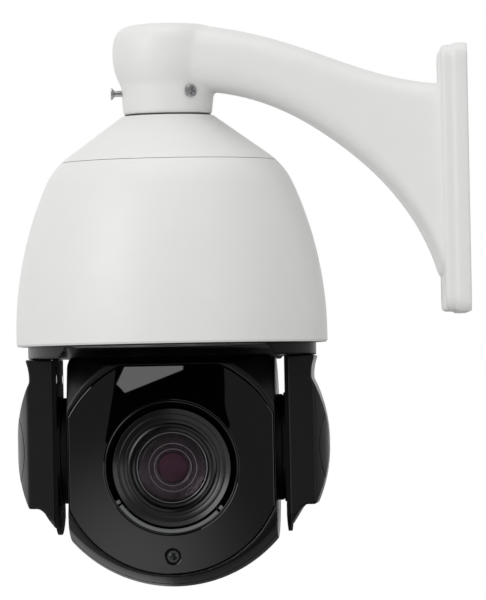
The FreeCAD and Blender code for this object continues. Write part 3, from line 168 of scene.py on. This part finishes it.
# Zinc plate: bright, faintly brushed by the turning of the head.
zinc_steel, shader = finish_for("zinc_plated_steel", "#c9c9cb", "#b9b9bc", 1.5, 0.2, 0.25, 0.004)
shader.inputs["Metallic"].default_value = 1.0
give(zinc_steel, "collar_screws", "cap_screws", "base_plate_screws", "arm_cover_screws")

# Moulded silicone: dull, with the fine texture of a blasted mould.
silicone, shader = finish_for("moulded_silicone_rubber", "#1d1d1d", "#242424", 4.0, 0.78, 0.5, 0.02)
give(silicone, "neck_gasket", "seam_gasket", "cable_grommet", "window_seal")
give(powder_coat, "neck_pipe")


# --- Dome ------------------------------------------------------------------------------
# Two aluminium castings with the same white coat: the deep bell, and the cone-shaped cap
# whose edge sits on the bell's inner flange with a hairline joint.
give(powder_coat, "dome_top_cap", "bell_housing")


# --- Pan drive inside the dome ---------------------------------------------------------
# A galvanised chassis plate carries the ball bearing, the stepper motor on its bridge and
# the slip ring. A neoprene belt takes the motor's turn to the hub, and the main board
# stands over it on brass pillars.

# Galvanised and cold rolled sheet: grey, with the spangle of about 6 mm.
galvanised, shader = finish_for("galvanised_sheet_steel", "#a9abad", "#c0c2c3", 6.0, 0.34, 0.4, 0.004)
shader.inputs["Metallic"].default_value = 1.0
give(galvanised, "base_plate", "pan_motor_bracket", "tilt_motor_bracket", "camera_bracket")

# Ground bearing steel: nearly a mirror, with a fine haze from the stone.
ground_steel, shader = finish_for("ground_bearing_steel", "#c2c2c4", "#b6b6b9", 1.0, 0.14, 0.2, 0.002)
shader.inputs["Metallic"].default_value = 1.0
give(ground_steel, "pan_bearing_outer", "pan_bearing_inner", "pan_bearing_balls", "right_tilt_bearing",
     "left_tilt_bearing")

# Turned aluminium: pale grey, with tool marks too fine to count.
turned_aluminium, shader = finish_for("turned_aluminium", "#d0d1d3", "#c6c7c9", 2.0, 0.28, 0.3, 0.006)
shader.inputs["Metallic"].default_value = 1.0
give(turned_aluminium, "pan_motor_pulley", "pan_hub", "pan_pulley", "tilt_motor_pulley", "tilt_pulley", "heat_sink")

# Turned brass: yellow, a little dulled by handling.
turned_brass, shader = finish_for("turned_brass", "#d9b166", "#c9a058", 2.0, 0.25, 0.3, 0.004)
shader.inputs["Metallic"].default_value = 1.0
give(turned_brass, "board_pillars")

# Black motor enamel on the stepper motors' cases.
motor_enamel, shader = finish_for("black_motor_enamel", "#1b1b1c", "#222223", 5.0, 0.4, 0.6, 0.01)
give(motor_enamel, "pan_motor", "tilt_motor")

# Neoprene belting: black and dull, with a cloth face of about 0.6 mm.
belting, shader = finish_for("neoprene_belting", "#1a1a1a", "#202020", 3.0, 0.7, 0.6, 0.03)
give(belting, "pan_belt", "tilt_belt")

# Glass-fibre board under a green solder mask, half gloss, with the weave showing through.
solder_mask, shader = finish_for("green_solder_mask", "#12512c", "#175a33", 1.2, 0.32, 0.8, 0.01)
give(solder_mask, "main_board", "sensor_board", "led_board")

# Moulded epoxy: the board's component bodies, black and finely matt.
moulded_epoxy, shader = finish_for("moulded_epoxy", "#232324", "#2a2a2b", 2.0, 0.55, 0.3, 0.01)
give(moulded_epoxy, "board_parts", "slip_ring_stator", "slip_ring_rotor")


# --- Turntable -------------------------------------------------------------------------
# A black ABS moulding that closes the bell from below: a disc with a thick pad over each
# arm and a shallow skirt at the back. Its mould is spark eroded to a fine matt grain.

# Black ABS: near black, with a satin grain of about 0.4 mm.
black_abs, shader = finish_for("black_moulded_abs", "#08080a", "#0c0c0e", 9.0, 0.34, 0.4, 0.008)
shader.inputs["IOR"].default_value = 1.4

turntable = cast_from("turntable", "turntable_moulding", 0.9, 3, 0.7)
settle(turntable, black_abs, "yoke", "black_plastic", "turntable")


# --- Yoke arms -------------------------------------------------------------------------
# Two deep black ABS shells whose outer faces swell into a round bulge, each with a cap
# over the end of the tilt shaft. A flat cover closes each arm's inner side, held by four
# small screws, and faces the head across a gap of 6 mm.
for side in ("right", "left"):
    shell = cast_from(side + "_arm_shell", side + "_arm_moulding", 0.62, 5, 0.6)
    settle(shell, black_abs, "yoke", "black_plastic", side + "_arm_shell")
    give(black_abs, side + "_arm_cap")

# Coarse spark-eroded ABS, painted darker than the other black and made to reflect little: painted shade, so the gap
# between arm and head stays black.
painted_shade_black_abs, shader = finish_for("coarse_black_abs_painted_shade", "#050505", "#080808", 5.0, 0.75, 0.8, 0.06)
shader.inputs["Specular IOR Level"].default_value = 0.12
give(painted_shade_black_abs, "right_arm_cover", "left_arm_cover")


# --- Camera head -----------------------------------------------------------------------
# Two black ABS shells, the front bezel and the rear, make a ball with flat sides and a
# flat face. A hub on each side carries it in the arms.
for node, name in (("head_bezel", "bezel_moulding"), ("head_rear_shell", "rear_moulding")):
    shell = cast_from(node, name, 0.75, 4, 0.42)
    settle(shell, black_abs, "head", "black_plastic", node)
# The hubs in the gap take the same painted-shade black.
give(painted_shade_black_abs, "right_tilt_hub", "left_tilt_hub")


# --- Front window ----------------------------------------------------------------------
# A flat pane of black acrylic that passes infrared, 3 mm thick, cut by laser and flame
# polished, with a small chamfer round its edge. It is bonded to the bezel on a seal.

# Black acrylic: a clean mirror over deep black, with the faintest ripple.
window_acrylic, shader = finish_for("black_window_acrylic", "#020202", "#030303", 30.0, 0.008, 40.0, 0.0002)
shader.inputs["IOR"].default_value = 1.49
pane = copy_of("front_window", "window_pane")
bpy.ops.object.mode_set(mode="EDIT")
bpy.ops.mesh.select_all(action="SELECT")
bpy.ops.mesh.dissolve_limited(angle_limit=math.radians(1.0))
bpy.ops.object.mode_set(mode="OBJECT")
chamfer = pane.modifiers.new("chamfer", "BEVEL")
chamfer.width = 0.0006
chamfer.segments = 2
chamfer.limit_method = "ANGLE"
chamfer.angle_limit = math.radians(50.0)
settle(pane, window_acrylic, "head", "window_acrylic", "front_window")
for face in pane.data.polygons:
    face.use_smooth = False


# --- Lens ------------------------------------------------------------------------------
# A trim ring lines the window's hole. Inside it stands the stepped barrel, turned from
# aluminium and anodised black, with the front element held by a slim bright ring.
hub_low, hub_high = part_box("right_tilt_hub")
bell_low, bell_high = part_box("bell_housing")
axis_x = (bell_low[0] + bell_high[0]) / 2
tilt_z = (hub_low[2] + hub_high[2]) / 2
head_turn = math.radians(-2.5)
lens_drop = 0.0117
face_out = 0.035
head_frame = Matrix.Translation((axis_x, 0.0, tilt_z)) @ Matrix.Rotation(head_turn, 4, "Z")
# From a lathe's upright axis to the lens axis, so that height on the lathe is depth in the head.
lathe_to_lens = Matrix.Rotation(math.radians(-90.0), 4, "X")
lens_frame = head_frame @ Matrix.Translation((0.0, -face_out, -lens_drop)) @ lathe_to_lens


def turned_ring(name, stations, sides=96, closed=True):
    """A ring turned through (radius, depth) stations in millimetres and placed on the lens axis.

    Where it isn't closed, it is a solid of revolution with a face at its first and last station.
    """
    r, depth = stations[0]
    bpy.ops.object.select_all(action="DESELECT")
    bpy.ops.mesh.primitive_circle_add(
        vertices=sides, radius=r / 1000.0, location=(0.0, 0.0, depth / 1000.0),
        fill_type="NOTHING" if closed else "NGON",
    )
    ring = bpy.context.object
    ring.name = name
    bpy.ops.object.transform_apply()
    bpy.ops.object.mode_set(mode="EDIT")
    bpy.ops.mesh.select_all(action="SELECT")
    for (r0, d0), (r1, d1) in zip(stations, stations[1:] + (stations[:1] if closed else [])):
        move = {"value": (0.0, 0.0, (d1 - d0) / 1000.0)}
        bpy.ops.mesh.extrude_edges_move(TRANSFORM_OT_translate=move)
        bpy.ops.transform.resize(value=(r1 / r0, r1 / r0, 1.0), center_override=(0.0, 0.0, d1 / 1000.0))
    if not closed:
        bpy.ops.mesh.merge(type="CENTER")
    bpy.ops.mesh.select_all(action="SELECT")
    bpy.ops.mesh.remove_doubles(threshold=0.000005)
    bpy.ops.mesh.normals_make_consistent(inside=False)
    bpy.ops.object.mode_set(mode="OBJECT")
    ring.data.transform(lens_frame)
    return ring


def soften_corners(piece, width_mm):
    """Breaks the corners of a turned piece with a small bevel."""
    broken = piece.modifiers.new("broken", "BEVEL")
    broken.width = width_mm / 1000.0
    broken.segments = 2
    broken.limit_method = "ANGLE"
    broken.angle_limit = math.radians(25.0)


# Black hard anodising on turned aluminium: deep and satin, with fine turned rings.
black_anodised, shader = finish_for("black_anodised_aluminium", "#040404", "#070707", 6.0, 0.24, 0.3, 0.004)
give(black_anodised, "camera_block", "focus_cell")
# The light sensor takes the painted-shade black as well.
give(painted_shade_black_abs, "light_sensor")

# Polished ABS: the mould is buffed, so the black is deep and mirrors its surroundings.
polished_abs, shader = finish_for("polished_black_abs", "#050506", "#070708", 20.0, 0.09, 6.0, 0.003)
trim = turned_ring("lens_trim", [
    (42.9, 3.0), (42.9, 0.2), (42.6, -0.5), (41.9, -0.5), (41.6, 0.4), (41.3, 4.5), (39.4, 4.5), (39.4, 8.0),
    (42.9, 8.0),
])
settle(trim, polished_abs, "head", "black_gloss", "lens_ring")

barrel = turned_ring("stepped_barrel", [
    (38.0, 12.0), (38.0, 2.2), (37.5, 1.6), (36.9, 2.0), (34.6, 2.7), (34.4, 3.1), (34.0, 2.9), (31.0, 3.9),
    (30.7, 4.4), (30.2, 4.2), (28.6, 5.0), (28.2, 4.2), (27.0, 3.7), (25.6, 5.2), (25.2, 7.4), (23.9, 7.6),
    (23.9, 9.6), (22.1, 9.6), (22.1, 14.0), (18.0, 14.0), (18.0, 49.0), (12.3, 49.0), (12.3, 51.0), (30.0, 51.0),
    (30.0, 15.0),
], sides=128)
soften_corners(barrel, 0.12)
settle(barrel, black_anodised, "head", "barrel_black", "lens_barrel")

# Bare turned aluminium: the slim retaining ring keeps its bright edge round the glass.
bare_aluminium, shader = finish_for("bare_turned_aluminium", "#b4b4b6", "#a8a8aa", 2.0, 0.3, 0.3, 0.004)
shader.inputs["Metallic"].default_value = 1.0
retainer = turned_ring("front_retaining_ring", [
    (22.75, 9.5), (22.6, 7.5), (22.3, 7.4), (22.15, 7.8), (22.15, 9.5),
])
settle(retainer, bare_aluminium, "head", "pulley_aluminium")

# Coated optical glass: nearly all light goes in, and a faint magenta comes back.
lens_glass, shader = finish_for("coated_optical_glass", "#d4c8d0", "#d8ccd4", 30.0, 0.006, 30.0, 0.000001)
shader.inputs["Transmission Weight"].default_value = 1.0
shader.inputs["IOR"].default_value = 1.2
glass = turned_ring("front_element", [
    (1.0, 14.0), (8.0, 13.84), (16.0, 13.37), (22.0, 12.8), (22.0, 9.0), (19.0, 8.31), (16.0, 7.76), (12.0, 7.16),
    (8.0, 6.74), (4.0, 6.48), (1.0, 6.4),
], sides=128, closed=False)
settle(glass, lens_glass, "head", "lens_glass", "front_lens")

# The first moving cell: black baffle steps that narrow to its own element, whose coating
# shows dark magenta.
cell = turned_ring("zoom_cell_steps", [
    (17.9, 24.0), (17.9, 16.0), (17.3, 16.0), (16.9, 17.0), (15.2, 17.2), (14.9, 16.5), (14.4, 16.5), (14.0, 17.6),
    (12.4, 17.8), (12.1, 17.2), (11.6, 17.2), (11.2, 18.3), (9.9, 18.6), (9.6, 19.4), (9.6, 24.0),
])
soften_corners(cell, 0.1)
settle(cell, black_anodised, "zoom_cell", "barrel_black", "zoom_cell")
magenta_coating, shader = finish_for("magenta_lens_coating", "#3c2430", "#2a1a24", 9.0, 0.08, 30.0, 0.000001)
shader.inputs["Specular Tint"].default_value = colour("#e8a0c8")
shader.inputs["IOR"].default_value = 1.5
element = turned_ring("zoom_cell_element", [
    (9.6, 24.0), (9.6, 19.9), (8.6, 19.5), (6.5, 19.0), (4.0, 18.7), (1.0, 18.6),
], closed=False)
settle(element, magenta_coating, "zoom_cell", "barrel_black")
# Two slim bright rings hold the elements in the cell's steps.
for number, (r, depth) in enumerate(((14.9, 16.4), (11.4, 17.1))):
    slim = turned_ring("zoom_cell_retainer_%d" % (number + 1), [
        (r + 0.3, depth + 1.5), (r + 0.3, depth + 0.1), (r + 0.2, depth), (r, depth), (r - 0.1, depth + 0.1),
        (r - 0.1, depth + 1.5),
    ])
    settle(slim, bare_aluminium, "zoom_cell", "pulley_aluminium")

# A black rubber gasket lies in the lower part of the groove round the barrel, in three lengths with gaps between
# them.
# It is coloured grey as a painted highlight, where light falls on the groove's lower part.
gasket_painted_highlight, shader = finish_for("grey_gasket_painted_highlight", "#5e6060", "#727474", 1.5, 0.6, 0.6, 0.03)
for number, (start, end) in enumerate(((210.0, 213.5), (215.5, 315.5), (318.0, 322.0))):
    length = turned_ring("groove_gasket_%d" % (number + 1), [
        (42.0, 1.0), (41.4, 0.7), (39.3, 1.4), (39.1, 4.4), (42.0, 4.4),
    ], sides=120)
    bpy.ops.object.mode_set(mode="EDIT")
    for angle, turn in ((start, 90.0), (end, -90.0)):
        bpy.ops.mesh.select_all(action="SELECT")
        keep = math.radians(angle + turn)
        plane = lens_frame.to_3x3() @ Vector((math.cos(keep), -math.sin(keep), 0.0))
        bpy.ops.mesh.bisect(plane_co=lens_frame.translation, plane_no=plane, use_fill=True, clear_inner=True)
    bpy.ops.object.mode_set(mode="OBJECT")
    settle(length, gasket_painted_highlight, "head", "rubber")

# Clear epoxy bulbs of the infrared lamps behind the window.
clear_epoxy, shader = finish_for("clear_epoxy", "#dcdccf", "#e4e4d8", 5.0, 0.06, 2.0, 0.001)
shader.inputs["Transmission Weight"].default_value = 1.0
give(clear_epoxy, "ir_leds")

# Green filter glass over the light sensor, and the blue-green infrared cut filter.
filter_glass, shader = finish_for("green_filter_glass", "#06120f", "#0c1e1a", 3.0, 0.05, 2.0, 0.001)
shader.inputs["Transmission Weight"].default_value = 0.3
give(filter_glass, "sensor_lens", "ir_cut_filter")


# --- Studio ----------------------------------------------------------------------------
# A pale floor well below the part, a large soft box to the left, a weaker one to the
# right and one above, before a white surround. Panels that only gloss shows stand before
# the object, as in a studio where the room in front is dim.
floor_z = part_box("head_rear_shell")[0][2] - 0.16
bpy.ops.object.select_all(action="DESELECT")
bpy.ops.mesh.primitive_plane_add(size=4.0, location=(-0.15, 0.0, floor_z))
floor = bpy.context.object
floor.name = "floor"
bpy.ops.object.transform_apply()
floor_paint, shader = finish_for("pale_floor_paint", "#e4e4e4", "#e2e2e2", 200.0, 0.9, 4.0, 0.01)
shader.inputs["Specular IOR Level"].default_value = 0.0
floor.data.materials.append(floor_paint)

world = bpy.data.worlds.new("studio")
bpy.context.scene.world = world
world.use_nodes = True
world.node_tree.nodes.clear()
path = add(world, "ShaderNodeLightPath")
direct = add(world, "ShaderNodeMath", {"operation": "MAXIMUM"})
world.node_tree.links.new(path.outputs["Is Camera Ray"], direct.inputs[0])
world.node_tree.links.new(path.outputs["Is Glossy Ray"], direct.inputs[1])
clear = add(world, "ShaderNodeMath", {"operation": "MAXIMUM"})
world.node_tree.links.new(direct.outputs[0], clear.inputs[0])
world.node_tree.links.new(path.outputs["Is Transmission Ray"], clear.inputs[1])
strength = add(world, "ShaderNodeMapRange", {"To Min": 0.56, "To Max": 1.0}, {"Value": clear.outputs[0]})
surround = add(world, "ShaderNodeBackground", {"Color": (1, 1, 1, 1)},
               {"Strength": strength.outputs["Result"]})
add(world, "ShaderNodeOutputWorld", links={"Surface": surround.outputs["Background"]})


def soft_box(name, place, target, size, watts):
    """A rectangular lamp aimed at a point."""
    data = bpy.data.lights.new(name, "AREA")
    data.shape = "RECTANGLE"
    data.size = size[0]
    data.size_y = size[1]
    data.energy = watts
    lamp = bpy.data.objects.new(name, data)
    lamp.location = place
    lamp.rotation_euler = (Vector(target) - Vector(place)).to_track_quat("-Z", "Y").to_euler()
    bpy.context.scene.collection.objects.link(lamp)


def panel(name, corners, level, glow_at=None, glow_r=1.0, glow_level=1.0):
    """A flat panel that only reflections show.

    It is as bright as level, white being 1, and can have one brighter place.
    """
    bpy.ops.object.select_all(action="DESELECT")
    bpy.ops.mesh.primitive_circle_add(vertices=len(corners), radius=1.0, fill_type="NGON")
    card = bpy.context.object
    card.name = name
    for corner, place in zip(card.data.vertices, corners):
        corner.co = place
    glow = bpy.data.materials.new(name + "_glow")
    glow.use_nodes = True
    glow.node_tree.nodes.clear()
    lit = add(glow, "ShaderNodeEmission", {"Color": (1, 1, 1, 1), "Strength": level})
    if glow_at:
        place = add(glow, "ShaderNodeTexCoord").outputs["Object"]
        off = add(glow, "ShaderNodeVectorMath", {"operation": "DISTANCE"})
        glow.node_tree.links.new(place, off.inputs[0])
        off.inputs[1].default_value = glow_at
        fade = add(glow, "ShaderNodeMapRange", {
            "interpolation_type": "SMOOTHERSTEP", "From Max": glow_r, "To Min": glow_level, "To Max": level,
        }, {"Value": off.outputs["Value"]})
        glow.node_tree.links.new(fade.outputs["Result"], lit.inputs["Strength"])
    add(glow, "ShaderNodeOutputMaterial", links={"Surface": lit.outputs["Emission"]})
    card.data.materials.append(glow)
    card.visible_camera = False
    card.visible_diffuse = False
    card.visible_transmission = False
    card.visible_shadow = False


look_at = Vector((-0.1454, 0.0, -0.0750))
soft_box("key", (-1.9, -1.7, 0.9), look_at, (1.4, 1.4), 20.0)
soft_box("fill", (1.6, -2.2, 0.2), look_at, (1.6, 1.6), 9.0)
soft_box("top", (-0.2, -0.2, 2.0), look_at, (1.6, 1.6), 9.0)

camera_data = bpy.data.cameras.new("camera")
camera_data.lens = 350.0
camera_data.sensor_width = 36.0
camera = bpy.data.objects.new("camera", camera_data)
bpy.context.scene.collection.objects.link(camera)
camera.location = (look_at.x, -3.75, -0.1413)
aim = (look_at - camera.location).to_track_quat("-Z", "Y").to_matrix().to_4x4()
roll = Matrix.Rotation(math.radians(-1.1), 4, "Z")
camera.matrix_world = Matrix.Translation(camera.location) @ aim @ roll
bpy.context.scene.camera = camera


def seen_in_pane(across, up, reach):
    """Where a card stands that mirrors at a place on the window, in millimetres from the tilt axis."""
    spot = head_frame @ Vector((across / 1000.0, -face_out, up / 1000.0))
    out = (head_frame.to_3x3() @ Vector((0.0, -1.0, 0.0))).normalized()
    ray = (spot - Vector(camera.location)).normalized()
    ray -= 2.0 * ray.dot(out) * out
    return spot + ray * reach


# The dim room in front, with a pale wall low on the left.
room_front = -4.4
half = 4.2
panel("dim_room", [
    (-half, room_front, -half), (half, room_front, -half), (half, room_front, half), (-half, room_front, half),
], 0.26, glow_at=seen_in_pane(-22, -72, 4.5), glow_r=0.25, glow_level=1.9)
# A black flag over the lens and a small bright card before it, which both mirror in the
# window's upper half.
panel("black_flag", [seen_in_pane(x, z, 2.0) for x, z in (
    (-34, 62), (-34.5, 52), (-36, 38), (-39, 22), (-42, 6), (-20, -30), (20, -30), (34, 6), (38, 15), (36, 21),
    (34.8, 28), (35, 42), (34.6, 54), (34, 62),
)], 0.0)
panel("bright_card", [seen_in_pane(x, z, 1.6) for x, z in (
    (-25.5, 62), (-28, 54.5), (-34, 42.2), (-28.7, 36.5), (8.6, 50.6), (8.6, 62),
)], 2.9)
# Dark drapes on the right and on the floor keep the black parts deep there.
drape = 2.4
panel("dark_side", [
    (drape, room_front, -2.0), (drape, 5.5, -2.0), (drape, 5.5, 2.4), (drape, room_front, 2.4),
], 0.3)
low = floor_z + 0.01
panel("dark_floor", [
    (-0.21, 3.0, low), (drape, 3.0, low), (drape, -4.3, low), (-0.5, -4.3, low), (-0.21, -0.12, low),
], 0.12)

bpy.context.scene.view_settings.view_transform = "Standard"
